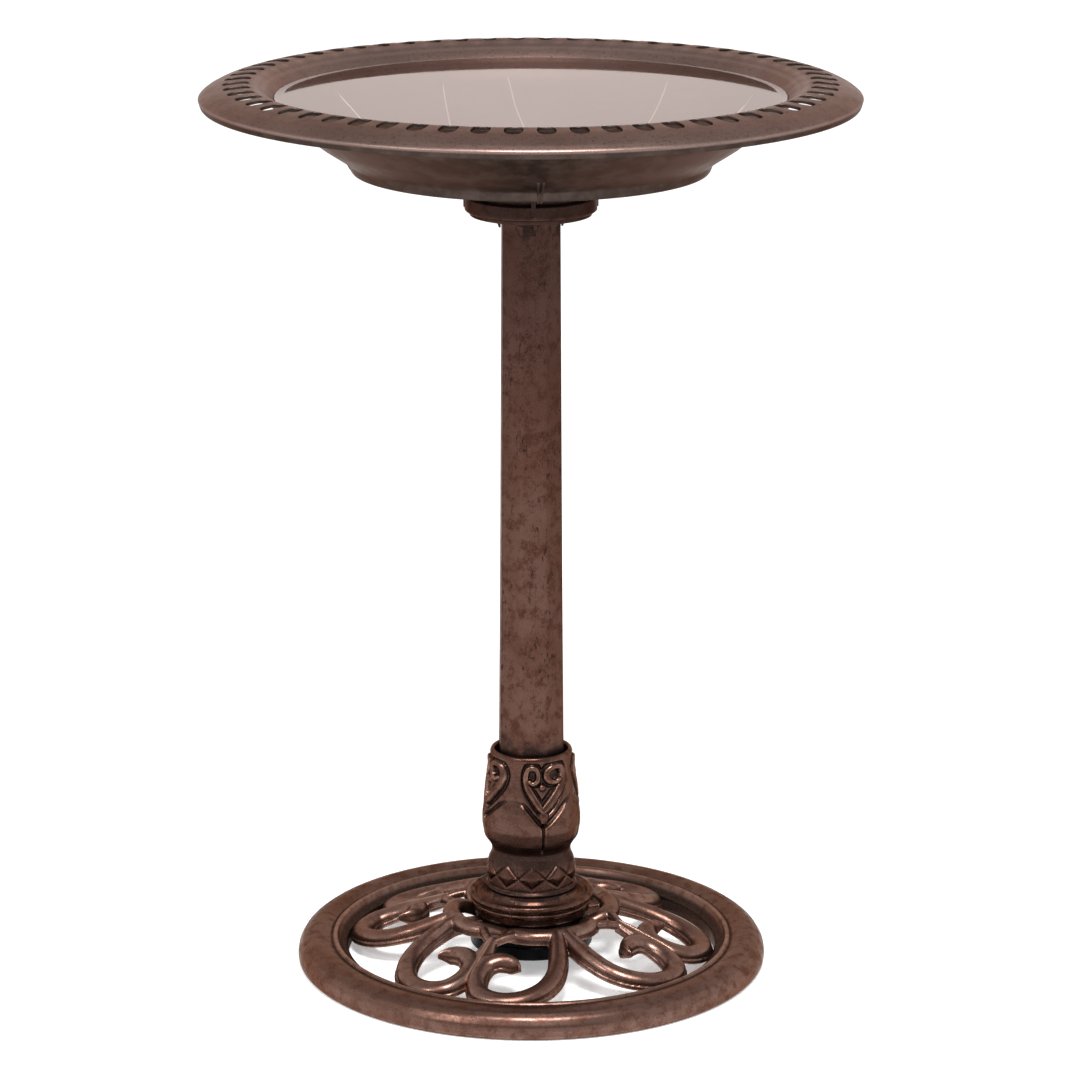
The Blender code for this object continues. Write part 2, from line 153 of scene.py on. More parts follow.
def turned(profile, steps, turn=0.0):
    """Rows of points: an (r, z) line turned about the Z axis."""
    bearing = turn + 360 * np.arange(steps) / steps
    return plan(profile[:, :1], bearing[None, :], profile[:, 1:2] + 0 * bearing[None, :])


class Patchwork:
    """Gathers patches of quads and makes one smooth piece of them."""

    def __init__(self):
        self.points, self.faces, self.count = [], [], 0

    def add(self, rows, wrap_columns=True, wrap_rows=False):
        high, wide = rows.shape[:2]
        index = self.count + np.arange(high * wide).reshape(high, wide)
        if wrap_columns:
            index = np.hstack([index, index[:, :1]])
        if wrap_rows:
            index = np.vstack([index, index[:1]])
        quads = np.stack([index[:-1, :-1], index[:-1, 1:], index[1:, 1:], index[1:, :-1]], axis=-1)
        self.points.append(rows.reshape(-1, 3))
        self.faces += quads.reshape(-1, 4).tolist()
        self.count += high * wide

    def add_closed(self, rows):
        """A tube of rows with a cap at each end."""
        start, wide = self.count, rows.shape[1]
        self.add(rows)
        self.faces.append(list(range(start, start + wide)))
        self.faces.append(list(range(self.count - wide, self.count)))

    def mesh(self, name):
        mesh = bpy.data.meshes.new(name)
        mesh.from_pydata((np.vstack(self.points) * MM).tolist(), [], self.faces)
        bm = bmesh.new()
        bm.from_mesh(mesh)
        bmesh.ops.remove_doubles(bm, verts=bm.verts, dist=2e-6)
        bmesh.ops.dissolve_degenerate(bm, edges=bm.edges, dist=1e-6)
        bmesh.ops.recalc_face_normals(bm, faces=bm.faces)
        bm.to_mesh(mesh)
        bm.free()
        return mesh


def vertex_rows(mesh, what):
    """The mesh's "co" or "normal" as rows of three numbers."""
    values = np.empty(len(mesh.vertices) * 3)
    mesh.vertices.foreach_get(what, values)
    return values.reshape(-1, 3)


def store(mesh, name, values):
    """Keeps one number a vertex, which the materials read by its name."""
    attribute = mesh.attributes.get(name) or mesh.attributes.new(name, "FLOAT", "POINT")
    attribute.data.foreach_set("value", values.astype(np.float32))


def mark_hollows(mesh, passes, full):
    """Stores how far each point lies below (+) or above (-) its smoothed surroundings, 1 at full mm."""
    place, normal = vertex_rows(mesh, "co"), vertex_rows(mesh, "normal")
    count = len(place)
    ends = np.empty(len(mesh.edges) * 2, np.int64)
    mesh.edges.foreach_get("vertices", ends)
    first, second = ends.reshape(-1, 2).T
    neighbours = np.bincount(first, minlength=count) + np.bincount(second, minlength=count)
    smooth = place.copy()
    for _ in range(passes):
        total = np.zeros_like(place)
        for near, far in ((first, second), (second, first)):
            for axis in range(3):
                total[:, axis] += np.bincount(near, smooth[far, axis], count)
        smooth = 0.4 * smooth + 0.6 * total / np.maximum(neighbours, 1)[:, None]
    hollow = np.einsum("ij,ij->i", smooth - place, normal) / (full * MM)
    store(mesh, "hollow", np.clip(hollow, -2, 2))


def show(name, mesh, material, body, stands_for=(), passes=10, full=0.35):
    """Adds a piece to the scene, smooth, with its material, on its CAD body."""
    if "hollow" not in mesh.attributes:
        mark_hollows(mesh, passes, full)
        mesh.shade_smooth()
        mesh.materials.append(material)
    piece = bpy.data.objects.new(name, mesh)
    bpy.context.scene.collection.objects.link(piece)
    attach(piece, body)
    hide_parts(*stands_for)
    return piece


# ---------------------------------------------------------------- materials

PATINA = (0.006, 0.0055, 0.006)


def new_material(name):
    material = bpy.data.materials.new(name)
    material.use_nodes = True
    return material, material.node_tree, material.node_tree.nodes["Principled BSDF"]


def node(tree, kind, inputs=None, **settings):
    made = tree.nodes.new(kind)
    for key, value in settings.items():
        setattr(made, key, value)
    for key, value in (inputs or {}).items():
        if isinstance(value, bpy.types.NodeSocket):
            tree.links.new(value, made.inputs[key])
        else:
            made.inputs[key].default_value = value
    return made


def place_socket(tree):
    return node(tree, "ShaderNodeTexCoord").outputs["Object"]


def noise(tree, scale, detail=4.0, roughness=0.55, stretch=None):
    """Noise with features about 1 / scale metres across."""
    where = place_socket(tree)
    if stretch:
        where = node(tree, "ShaderNodeMapping", {"Vector": where, "Scale": stretch}).outputs[0]
    inputs = {"Vector": where, "Scale": scale, "Detail": detail, "Roughness": roughness}
    return node(tree, "ShaderNodeTexNoise", inputs).outputs["Fac"]


def span(tree, value, low, high, to_low=0.0, to_high=1.0):
    """Smooth step from to_low at low to to_high at high."""
    inputs = {"Value": value, "From Min": low, "From Max": high, "To Min": to_low, "To Max": to_high}
    return node(tree, "ShaderNodeMapRange", inputs, interpolation_type="SMOOTHSTEP").outputs[0]


def math_of(tree, operation, a, b):
    return node(tree, "ShaderNodeMath", {0: a, 1: b}, operation=operation).outputs[0]


def blend(tree, share, a, b):
    mix = node(tree, "ShaderNodeMix", {0: share}, data_type="RGBA")
    for socket, value in ((mix.inputs[6], a), (mix.inputs[7], b)):
        if isinstance(value, bpy.types.NodeSocket):
            tree.links.new(value, socket)
        else:
            socket.default_value = (*value, 1.0)
    return mix.outputs[2]


def bumped(tree, shader, layers):
    """Adds (height, strength, depth mm) bumps, one over another."""
    normal = None
    for height, strength, depth in layers:
        inputs = {"Height": height, "Strength": strength, "Distance": depth * MM}
        if normal:
            inputs["Normal"] = normal
        normal = node(tree, "ShaderNodeBump", inputs).outputs[0]
    tree.links.new(normal, shader.inputs["Normal"])


def metal_sheen(shader, metallic, edge):
    """How much of the shine is metal, and its tint at a low angle."""
    shader.inputs["Metallic"].default_value = metallic
    shader.inputs["Specular Tint"].default_value = (*edge, 1.0)
    shader.inputs["Specular IOR Level"].default_value = 0.3


def bronze_paint(name, brown, rosy, rubbed, wear=0.6, gloss=0.34, stain_and_shade=None):
    """Brushed bronze finish on cast resin: mottled browns, black in the hollows, copper on the edges, and an
    optional darkening mask of stains and painted shade.
    """
    material, tree, shader = new_material(name)
    hollow = node(tree, "ShaderNodeAttribute", attribute_name="hollow").outputs["Fac"]
    broad = noise(tree, 16, 3)
    mottle = noise(tree, 105, 7, 0.7)
    flecks = noise(tree, 620, 4, 0.7)
    grain = noise(tree, 2300, 2)
    colour = blend(tree, span(tree, broad, 0.38, 0.62), brown, rosy)
    redder = tuple(c * s for c, s in zip(brown, (0.74, 0.60, 0.54)))
    colour = blend(tree, span(tree, mottle, 0.47, 0.64, 0, 0.95), colour, redder)
    spots = math_of(tree, "MULTIPLY", span(tree, flecks, 0.56, 0.66), span(tree, mottle, 0.44, 0.58))
    colour = blend(tree, math_of(tree, "MULTIPLY", spots, 0.75), colour, PATINA)
    ragged = math_of(tree, "ADD", hollow, span(tree, mottle, 0.35, 0.70, -0.10, 0.10))
    worn = span(tree, math_of(tree, "MULTIPLY", ragged, -1), 0.15, 0.85, 0, wear)
    colour = blend(tree, worn, colour, rubbed)
    patina = span(tree, ragged, 0.06, 0.55)
    # The optional mask darkens more towards patina: stains, and on the shaft painted shade as well.
    if stain_and_shade:
        patina = math_of(tree, "MAXIMUM", patina, stain_and_shade(tree))
    colour = blend(tree, math_of(tree, "MULTIPLY", patina, 0.94), colour, PATINA)
    colour = blend(tree, span(tree, grain, 0.42, 0.68, 0.0, 0.22), colour, rubbed)
    tree.links.new(colour, shader.inputs["Base Color"])
    rough = span(tree, mottle, 0.3, 0.7, gloss - 0.06, gloss + 0.08)
    rough = math_of(tree, "ADD", rough, math_of(tree, "MULTIPLY", patina, 0.10))
    tree.links.new(rough, shader.inputs["Roughness"])
    metal_sheen(shader, 0.92, (0.47, 0.40, 0.37))
    bumped(tree, shader, [(flecks, 0.40, 0.14), (grain, 0.65, 0.06)])
    return material


def column_stain_and_shade(tree):
    """Black blotches under the collar and specks down the shaft, then painted shade: darker on the foot
    inside the urn's mouth and deepening up the shaft towards the basin.
    """
    height = node(tree, "ShaderNodeSeparateXYZ", {0: place_socket(tree)}).outputs["Z"]
    blotch = noise(tree, 70, 4, 0.55)
    high = math_of(tree, "MULTIPLY", span(tree, blotch, 0.53, 0.58), span(tree, height, 0.576, 0.598))
    streaks = noise(tree, 60, 6, 0.7, (1.0, 1.0, 0.22))
    specks = noise(tree, 420, 3, 0.6, (1.0, 1.0, 0.45))
    streaks = span(tree, streaks, 0.48, 0.58, 0, 0.85)
    low = math_of(tree, "MULTIPLY", span(tree, specks, 0.54, 0.62), streaks)
    ragged = math_of(tree, "ADD", height, math_of(tree, "MULTIPLY", blotch, -0.03))
    # Painted shade on the shaft's foot down inside the urn's mouth.
    foot = span(tree, ragged, 0.176, 0.163)
    # Painted shade deepening up the shaft towards the basin.
    painted_shade = span(tree, height, 0.40, 0.585, 0.0, 0.48)
    spots = math_of(tree, "MAXIMUM", high, low)
    return math_of(tree, "MAXIMUM", spots, math_of(tree, "MAXIMUM", foot, painted_shade))


def ring_ledge_darkening(tree):
    """Darkens the ring's inner ledge and bore."""
    way = node(tree, "ShaderNodeSeparateXYZ", {0: place_socket(tree)}).outputs
    squares = (math_of(tree, "MULTIPLY", way[axis], way[axis]) for axis in ("X", "Y"))
    radius = math_of(tree, "SQRT", math_of(tree, "ADD", *squares), 0.0)
    return math_of(tree, "MULTIPLY", span(tree, radius, 0.1560, 0.1530), span(tree, way["Z"], 0.0185, 0.0150))


def urn_neck_and_foot_darkening(tree):
    """Darkens the urn's neck and the ground round its foot above the plate."""
    height = node(tree, "ShaderNodeSeparateXYZ", {0: place_socket(tree)}).outputs["Z"]
    ragged = span(tree, noise(tree, 110, 5, 0.65), 0.3, 0.7, -0.003, 0.003)
    height = math_of(tree, "ADD", height, ragged)
    neck = math_of(tree, "MULTIPLY", span(tree, height, 0.075, 0.088), span(tree, height, 0.110, 0.096))
    foot = math_of(tree, "MULTIPLY", span(tree, height, 0.0572, 0.0588), span(tree, height, 0.0670, 0.0632))
    return math_of(tree, "MULTIPLY", math_of(tree, "MAXIMUM", neck, foot), 0.85)


def pale_resin():
    """The basin's thinner wash of bronze over light resin, grainy and half matt, with painted shade on its
    underside, the lip's face and the slots' walls.
    """
    material, tree, shader = new_material("pale bronze resin")
    hollow = node(tree, "ShaderNodeAttribute", attribute_name="hollow").outputs["Fac"]
    under = node(tree, "ShaderNodeAttribute", attribute_name="under").outputs["Fac"]
    broad = noise(tree, 9, 3)
    mottle = noise(tree, 60, 6, 0.65)
    grain = noise(tree, 1500, 3, 0.6)
    sand = noise(tree, 520, 4, 0.7)
    colour = blend(tree, span(tree, broad, 0.35, 0.65), (0.120, 0.076, 0.064), (0.150, 0.098, 0.084))
    colour = blend(tree, span(tree, mottle, 0.48, 0.72, 0, 0.45), colour, (0.078, 0.043, 0.035))
    colour = blend(tree, span(tree, sand, 0.53, 0.66, 0, 0.70), colour, (0.042, 0.026, 0.022))
    colour = blend(tree, span(tree, grain, 0.50, 0.70, 0, 0.35), colour, (0.190, 0.135, 0.118))
    colour = blend(tree, span(tree, hollow, 0.12, 0.7, 0, 0.85), colour, (0.026, 0.016, 0.014))
    raised = math_of(tree, "MULTIPLY", hollow, -1)
    colour = blend(tree, span(tree, raised, 0.08, 0.6, 0, 0.7), colour, (0.320, 0.240, 0.215))
    # Painted shade: a dark brown laid over the underside, the lip's face and the slots' walls, where the
    # "under" mask is 1.
    painted_shade = blend(tree, span(tree, mottle, 0.40, 0.65), (0.031, 0.022, 0.019), (0.052, 0.037, 0.032))
    colour = blend(tree, under, colour, painted_shade)
    worn = node(tree, "ShaderNodeAttribute", attribute_name="worn").outputs["Fac"]
    colour = blend(tree, worn, colour, (0.46, 0.37, 0.34))
    tree.links.new(colour, shader.inputs["Base Color"])
    tree.links.new(span(tree, mottle, 0.3, 0.7, 0.34, 0.44), shader.inputs["Roughness"])
    metal_sheen(shader, 0.92, (0.56, 0.455, 0.42))
    bumped(tree, shader, [(sand, 0.30, 0.12), (grain, 0.50, 0.06)])
    return material


def water():
    """Still, clear water: what lies below shows through, and the surface mirrors more at a low angle."""
    material, tree, _ = new_material("water")
    haze = span(tree, noise(tree, 12, 3), 0.4, 0.6, 0.02, 0.05)
    tint = blend(tree, span(tree, noise(tree, 9, 3), 0.4, 0.6), (0.86, 0.82, 0.80), (0.90, 0.87, 0.85))
    clear = node(tree, "ShaderNodeBsdfTransparent", {"Color": tint}).outputs[0]
    rosy = (0.95, 0.81, 0.77, 1.0)
    mirror = node(tree, "ShaderNodeBsdfGlossy", {"Color": rosy, "Roughness": haze}).outputs[0]
    share = math_of(tree, "MULTIPLY", node(tree, "ShaderNodeFresnel", {"IOR": 1.33}).outputs[0], 0.88)
    surface = node(tree, "ShaderNodeMixShader", {0: share, 1: clear, 2: mirror}).outputs[0]
    tree.links.new(surface, tree.nodes["Material Output"].inputs["Surface"])
    return material


def plastic(name, dark, light, gloss):
    """Black plastic with faint mould grain and dust."""
    material, tree, shader = new_material(name)
    dust = noise(tree, 90, 6, 0.7)
    grain = noise(tree, 1800, 2)
    colour = blend(tree, span(tree, dust, 0.50, 0.75, 0, 0.6), dark, light)
    tree.links.new(colour, shader.inputs["Base Color"])
    tree.links.new(span(tree, dust, 0.35, 0.70, gloss, gloss + 0.16), shader.inputs["Roughness"])
    shader.inputs["Specular IOR Level"].default_value = 0.05
    bumped(tree, shader, [(grain, 0.25, 0.04)])
    return material


def zinc():
    """Plated steel with a dull spangle and brushed scratches."""
    material, tree, shader = new_material("zinc steel")
    cells = {"Vector": place_socket(tree), "Scale": 450}
    spangle = node(tree, "ShaderNodeTexVoronoi", cells).outputs["Distance"]
    scratch = noise(tree, 900, 3, 0.6, (1.0, 1.0, 0.08))
    tarnish = noise(tree, 120, 5, 0.6)
    colour = blend(tree, span(tree, spangle, 0.1, 0.7), (0.50, 0.50, 0.49), (0.62, 0.62, 0.61))
    colour = blend(tree, span(tree, tarnish, 0.52, 0.72, 0, 0.6), colour, (0.26, 0.25, 0.24))
    tree.links.new(colour, shader.inputs["Base Color"])
    tree.links.new(span(tree, tarnish, 0.3, 0.7, 0.26, 0.44), shader.inputs["Roughness"])
    shader.inputs["Metallic"].default_value = 1.0
    bumped(tree, shader, [(scratch, 0.25, 0.04), (spangle, 0.15, 0.03)])
    return material


# ---------------------------------------------------------------- basin


def basin_lines():
    """The wall's (r, z) lines: underside, below and round the lip, above the slots, and in to the centre."""
    crest, seat, rim = CREST, SEAT, RIM_RADIUS
    outline = [
        (52, seat),
        (134, seat + 9.2),
        (137.4, seat + 9.8),
        (138.6, seat + 11.4),
        (140.4, seat + 16.6),
        (142.6, seat + 18.8),
        (162, seat + 31.4),
        (182, seat + 46.6),
        (196, seat + 60.0),
        (204, seat + 69.0),
        (213, seat + 74.8),
        (222, seat + 76.1),
        (236, seat + 74.1),
        (247.2, seat + 69.2),
        (250.8, seat + 66.4),
        (251.0, seat + 63.6),
        (250.6, seat + 61.7),
        (251.8, seat + 61.2),
        (252.6, seat + 62.2),
        (253.7, seat + 66.0),
        (rim, seat + 67.0),
        (rim - 0.8, crest - 10.8),
        (rim - 4.6, crest - 7.8),
        (rim - 11, crest - 4.6),
        (rim - 21, crest - 1.5),
        (rim - 35, crest),
        (rim - 43, crest - 1.4),
        (rim - 50, crest - 5.4),
        (199.0, crest - 9.8),
        (196.8, crest - 12.0),
        (195.4, crest - 14.0),
        (181, seat + 50.2),
        (160, seat + 34.6),
        (139, seat + 20.4),
        (130, seat + 13.6),
        (80, seat + 6.2),
        (26, seat + 3.7),
        (24.4, seat + 3.8),
        (23.8, seat + 5.4),
        (22.6, seat + 5.9),
        (21.2, seat + 5.2),
        (3.2, seat + 5.2),
        (2.2, seat + 4.2),
        (0, seat + 4.0),
    ]
    line = spaced(softened(outline, 6.0), 0.25)
    low, high = SLOT_BAND
    edge = int(np.argmax(line[:, 0]))
    first = pinned(line, 0, edge, low)
    second = pinned(line, first, edge, high)
    third = pinned(line, edge, len(line), high)
    fourth = pinned(line, third, len(line), low)
    ends = [0, first, second, third, fourth, len(line) - 1]
    return [line[start : end + 1] for start, end in zip(ends, ends[1:])]


def pinned(line, start, end, radius):
    """Moves the point nearest to a radius onto it, along the line, and gives its index."""
    i = start + int(np.argmin(np.abs(line[start:end, 0] - radius)))
    step = line[i + 1] - line[i - 1]
    line[i] += step * (radius - line[i, 0]) / step[0]
    return i


def height_on(line, radius):
    """Height of an (r, z) line at each radius."""
    order = np.argsort(line[:, 0])
    return np.interp(radius, line[order, 0], line[order, 1])


def square_walk(across, along):
    """Points round a square of half side 1, across steps on two sides and along steps on the others."""
    side = np.arange(across) / across * 2 - 1
    rise = np.arange(along) / along * 2 - 1
    return np.vstack(
        [
            np.stack([side, -np.ones(across)], 1),
            np.stack([np.ones(along), rise], 1),
            np.stack([-side, np.ones(across)], 1),
            np.stack([-np.ones(along), -rise], 1),
        ]
    )


def slotted_band(shape, top, under):
    """The rim's ring of slots: a cell's skin runs from its edge to the slot, down its wall and back."""
    walk = square_walk(RIM_STEPS // SLOTS, 10)
    half_cell = SLOT_RADIUS * math.radians(180 / SLOTS)
    half_band = (SLOT_BAND[1] - SLOT_BAND[0]) / 2
    edge = walk * (half_cell, half_band)
    size = np.array([SLOT_HALF_WIDTH, SLOT_HALF_LENGTH])
    slot = edge / (np.abs(edge / size) ** 2.7).sum(1, keepdims=True) ** (1 / 2.7)
    top_steps = [(1, 0, 0), (0.62, 0, 0), (0.3, 0, 0), (0.1, 0, 0), (0, 0.75, 0)]
    lip = [(0, 0.32, -0.14), (0, 0.07, -0.45), (0, 0, -0.95)]
    bearings = 360 * (np.arange(SLOTS) + 0.5) / SLOTS
    rows = []
    steps_down = top_steps + lip
    for line, steps, sign in ((top, steps_down, 1), (under, steps_down[::-1], -1)):
        for share, outset, drop in steps:
            near = slot * (1 + max(outset, 0.75 if share else 0) / size)
            here = near + (edge - near) * share
            z = height_on(line, SLOT_RADIUS + here[:, 1]) + sign * drop
            rows.append(np.column_stack([here, z]))
    rows = np.array(rows)
    for bearing in bearings:
        turn = bearing + np.degrees(rows[:, :, 0] / SLOT_RADIUS)
        shape.add(plan(SLOT_RADIUS + rows[:, :, 1], turn, rows[:, :, 2]))


VEINS = [
    [(25, 176), (60, 174), (105, 178), (150, 184), (186, 186)],
    [(25, 205), (55, 214), (95, 216), (135, 208), (182, 203)],
    [(25, 152), (60, 146), (110, 140), (150, 141), (186, 144)],
    [(25, 238), (60, 246), (105, 246), (150, 238), (186, 236)],
    [(25, 272), (65, 280), (110, 281), (150, 276), (187, 273)],
    [(25, 118), (60, 112), (105, 107), (150, 108), (187, 112)],
    [(25, 88), (65, 80), (110, 75), (150, 74), (188, 71)],
    [(110, 75), (140, 80), (165, 86), (188, 88)],
    [(25, 316), (60, 322), (110, 324), (160, 319)],
    [(25, 0), (60, 4), (110, 2), (160, -3)],
    [(25, 42), (60, 38), (110, 34), (160, 38)],
]


def lay_veins(shape, floor):
    """Fine raised leaf veins over the basin's floor."""
    for controls in VEINS:
        path = flowing(controls, 10)
        centre = plan(path[:, 0], path[:, 1], height_on(floor, path[:, 0]))
        ahead = np.gradient(centre, axis=0)
        across = np.stack([-ahead[:, 1], ahead[:, 0], 0 * ahead[:, 0]], 1)
        across /= np.linalg.norm(across, axis=1, keepdims=True)
        share = np.linspace(0, 1, len(path))
        half = 1.5 * (1 - 0.5 * share)
        tall = 1.15 * (1 - 0.35 * share) * np.minimum(1, 12 * (1 - share) + 0.05)
        turn = np.linspace(0, 2 * np.pi, 9)[:-1]
        up = np.array([0, 0, 1.0])
        rows = (
            centre[:, None]
            + across[:, None] * (half[:, None] * np.cos(turn))[..., None]
            + up * (tall[:, None] * np.sin(turn))[..., None]
        )
        shape.add_closed(rows)


def foot_rib(shape, bearing):
    """Small rib across the basin's bottom edge, with a groove down its middle."""
    inner, outer = 131.0, 156.0
    for side in (-1, 1):
        rows = []
        for share in np.linspace(0, 1, 13):
            radius = inner + (outer - inner) * share
            skin = SEAT + np.interp(radius, [52, 134, 138.6, 140.4, 162], [0, 9.2, 11.4, 16.6, 31.4])
            drop = 2.0 * math.sin(math.pi * min(1, 0.12 + 0.88 * share)) ** 0.6
            half_section = [(0.35, -drop), (0.75, -0.7 * drop), (0.7, 1.4)]
            offsets = np.array([(-across, up) for across, up in half_section[::-1]] + half_section)
            turn = bearing + np.degrees((side * (0.8 + 1.3 * share) + offsets[:, 0]) / radius)
            rows.append(plan(radius, turn, skin + offsets[:, 1]))
        shape.add_closed(np.array(rows))


def make_basin(material):
    shape = Patchwork()
    below, slot_under, lip, slot_top, inside = basin_lines()
    foot, ceiling = COLLAR_UNDERSIDE + CUP_CLEARANCE, SEAT - 0.2
    spigot = [(0, ceiling), (38.5, ceiling), (38.5, foot), (42, foot), (42, ceiling), (52, SEAT)]
    shape.add(turned(softened(spigot, 0.8), RIM_STEPS))
    for line, gap in ((below, 3.0), (lip, 0.9), (inside, 3.2)):
        shape.add(turned(thinned(line, gap), RIM_STEPS))
    slotted_band(shape, slot_top, slot_under)
    lay_veins(shape, inside)
    for quarter in range(4):
        foot_rib(shape, FOOT_RIB_TURN + 90 * quarter)
    mesh = shape.mesh("basin_skin")
    mark_painted_shade(mesh)
    mark_veins(mesh, inside)
    show("basin_skin", mesh, material, "basin", ["basin"], passes=6, full=0.9)


def thinned(line, gap):
    """Drops points where the line is straight, keeping any that bend, and none more than gap apart."""
    kept = [0]
    for i in range(1, len(line) - 1):
        last = line[kept[-1]]
        ahead, behind = line[i + 1] - line[i], line[i] - last
        bend = abs(math.atan2(ahead[0] * behind[1] - ahead[1] * behind[0], ahead @ behind))
        if bend > math.radians(7) or np.linalg.norm(behind) > gap:
            kept.append(i)
    return line[kept + [len(line) - 1]]


def mark_painted_shade(mesh):
    """Stores 1 where the basin material paints shade: its underside, the face of its lip and the slots'
    walls; 0 elsewhere.
    """
    x, y, z = vertex_rows(mesh, "co").T / MM
    facing_up = vertex_rows(mesh, "normal")[:, 2]
    radius = np.hypot(x, y)
    down = np.clip(-facing_up * 4 + 0.4, 0, 1)
    inner = np.clip((250.5 - radius) / 2, 0, 1)
    lip = (radius > 246) & (z < SEAT + 65.0)
    in_slot = (np.abs(radius - SLOT_RADIUS) < SLOT_HALF_LENGTH + 0.6) & (facing_up < 0.55)
    store(mesh, "under", np.maximum(down * inner, lip | in_slot))


def mark_veins(mesh, floor):
    """Stores 1 on the raised veins and the floor's middle disc, where the finish is worn light."""
    x, y, z = vertex_rows(mesh, "co").T / MM
    radius = np.hypot(x, y)
    level = height_on(floor, radius)
    proud = (radius < 188) & (z > level + 0.2)
    disc = 0.6 * ((radius < 27) & (z > level - 0.2))
    store(mesh, "worn", np.maximum(proud, disc))


def make_water(material):
    """The filled basin's surface, with the small rise where it meets the wall."""
    shape = Patchwork()
    line = [(0, WATER_Z), (60, WATER_Z), (120, WATER_Z), (WATER_RADIUS - 4, WATER_Z)]
    line += [(WATER_RADIUS - 1.2, WATER_Z + 0.15), (WATER_RADIUS, WATER_Z + 0.9)]
    shape.add(turned(spaced(softened(line, 2.0), 3.0), 180))
    piece = show("water_surface", shape.mesh("water_surface"), material, "basin")
    if piece.data.polygons[0].normal.z < 0:
        piece.data.flip_normals()


# ---------------------------------------------------------------- seat collar


def upright_plate(shape, bearing, corners, half):
    """Thin plate standing on a bearing, from its (r, z) corners, with softened edges."""
    line = softened(corners + corners[:1], 0.7, 2)[:-1]
    centre = line.mean(0)
    stack = []
    for share in (-1, -0.8, -0.4, 0.4, 0.8, 1):
        inset = 0.88 if abs(share) == 1 else 1.0
        spot = centre + (line - centre) * inset
        side = plan(half * share, bearing + 90, 0)
        stack.append(plan(spot[:, 0], bearing, spot[:, 1]) + side)
    shape.add_closed(np.array(stack))


def make_collar(material):
    base, rim, radius = COLLAR_UNDERSIDE, COLLAR_RIM, COLLAR_RADIUS
    plug = COLUMN_BORE - 0.4
    outline = [
        (ROD_HOLE, COLLAR_FLOOR),
        (plug, COLLAR_FLOOR),
        (plug, base),
        (45.8, base),
        (47.2, base + 0.4),
        (47.6, base + 1.4),
        (47.6, base + 3.4),
        (50.2, base + 3.7),
        (radius, base + 4.6),
        (radius, rim - 1.2),
        (radius - 0.8, rim),
        (radius - 2.8, rim),
        (radius - 3.6, rim - 1.4),
        (radius - 3.8, base + 6.0),
        (radius - 6.0, base + 3.4),
        (plug + 3.0, base + 3.0),
        (plug - 2.6, COLLAR_FLOOR + 4.4),
        (ROD_HOLE, COLLAR_FLOOR + 4.4),
        (ROD_HOLE, COLLAR_FLOOR),
    ]
    shape = Patchwork()
    shape.add(turned(thinned(spaced(softened(outline, 0.5), 0.15), 2.0), 240))
    for quarter in range(4):
        bearing = COLLAR_TURN + 90 * quarter
        gusset = [(23.6, base + 1), (23.6, base - 9.5), (25.0, base - 9.5), (28.6, base + 1)]
        upright_plate(shape, bearing, gusset, 1.3)
        inner, outer = radius - 2, radius + 0.9
        rib = [(inner, base + 5.5), (outer, base + 6.5), (outer, rim + 5), (inner, rim + 6)]
        upright_plate(shape, bearing - 5.5, rib, 1.6)
    mesh = shape.mesh("collar_casting")
    show("collar_casting", mesh, material, "stand", ["seat_collar"], 6, 0.45)


# ---------------------------------------------------------------- column


def make_column(material):
    """Tapered shaft with eight hollow flutes between slightly rounded ridges, and a faint mould seam."""
    per_flute = 26
    count = FLUTES * per_flute
    across = (np.arange(count) % per_flute) / per_flute
    depth = FLUTE_DEPTH * 4 * across * (1 - across)
    for _ in range(2):
        depth = 0.25 * np.roll(depth, 1) + 0.5 * depth + 0.25 * np.roll(depth, -1)
    bearing = COLUMN_TURN + 360 / FLUTES * (np.arange(count) / per_flute - 0.5)
    seam = 0.35 * np.exp(-(((bearing - 6.4 + 180) % 360 - 180) / 0.9) ** 2)
    share = np.linspace(0, 1, 110)[:, None]
    top = COLLAR_UNDERSIDE - 0.3
    z = COLUMN_FOOT + (top - COLUMN_FOOT) * share
    ridge = 27.9 + (24.1 - 27.9) * share**0.75
    shape = Patchwork()
    rows = [plan(ridge - depth + seam, bearing[None, :] + 0 * z, z + 0 * depth)]
    for radius, height in ((COLUMN_BORE, top), (COLUMN_BORE, COLUMN_FOOT)):
        rows.append(plan(radius, bearing, height)[None])
    shape.add(np.vstack(rows), wrap_rows=True)
    show("fluted_shaft", shape.mesh("fluted_shaft"), material, "stand", ["column"], 10, 1.5)


# ---------------------------------------------------------------- urn


def distance_to(x, y, path):
    """(distance, share of the way along) from each point to a line of points."""
    steps = np.linalg.norm(np.diff(path[:, :2], axis=0), axis=1)
    along = np.concatenate([[0], np.cumsum(steps)]) / steps.sum()
    nearest = np.full(x.shape, 1e9)
    share = np.zeros(x.shape)
    for i, (start, end) in enumerate(zip(path[:, :2], path[1:, :2])):
        step = end - start
        t = np.clip(((x - start[0]) * step[0] + (y - start[1]) * step[1]) / (step @ step), 0, 1)
        gap = np.hypot(x - start[0] - t * step[0], y - start[1] - t * step[1])
        closer = gap < nearest
        nearest = np.where(closer, gap, nearest)
        share = np.where(closer, along[i] + t * (along[i + 1] - along[i]), share)
    return nearest, share


def pillow(distance, half):
    """Rounded ridge of height 1 and the given half width."""
    return np.sqrt(np.clip(1 - (distance / half) ** 2, 0, 1))


# One side of the ornament, as (distance from its middle line, height).
VOLUTE = [(0.2, 132.8), (4.2, 138.2), (9.0, 144.6), (13.4, 151.0), (16.0, 157.4), (16.2, 162.4)]
VOLUTE += [(13.6, 167.2), (9.2, 168.2), (5.0, 166.0), (3.5, 161.4), (5.4, 157.0), (9.6, 155.6), (12.6, 157.2)]
PETAL = [(0.6, 120.5), (5.0, 125.0), (10, 130.6), (15, 135.8), (18.4, 138.6), (22.2, 140.4), (28, 141.4)]


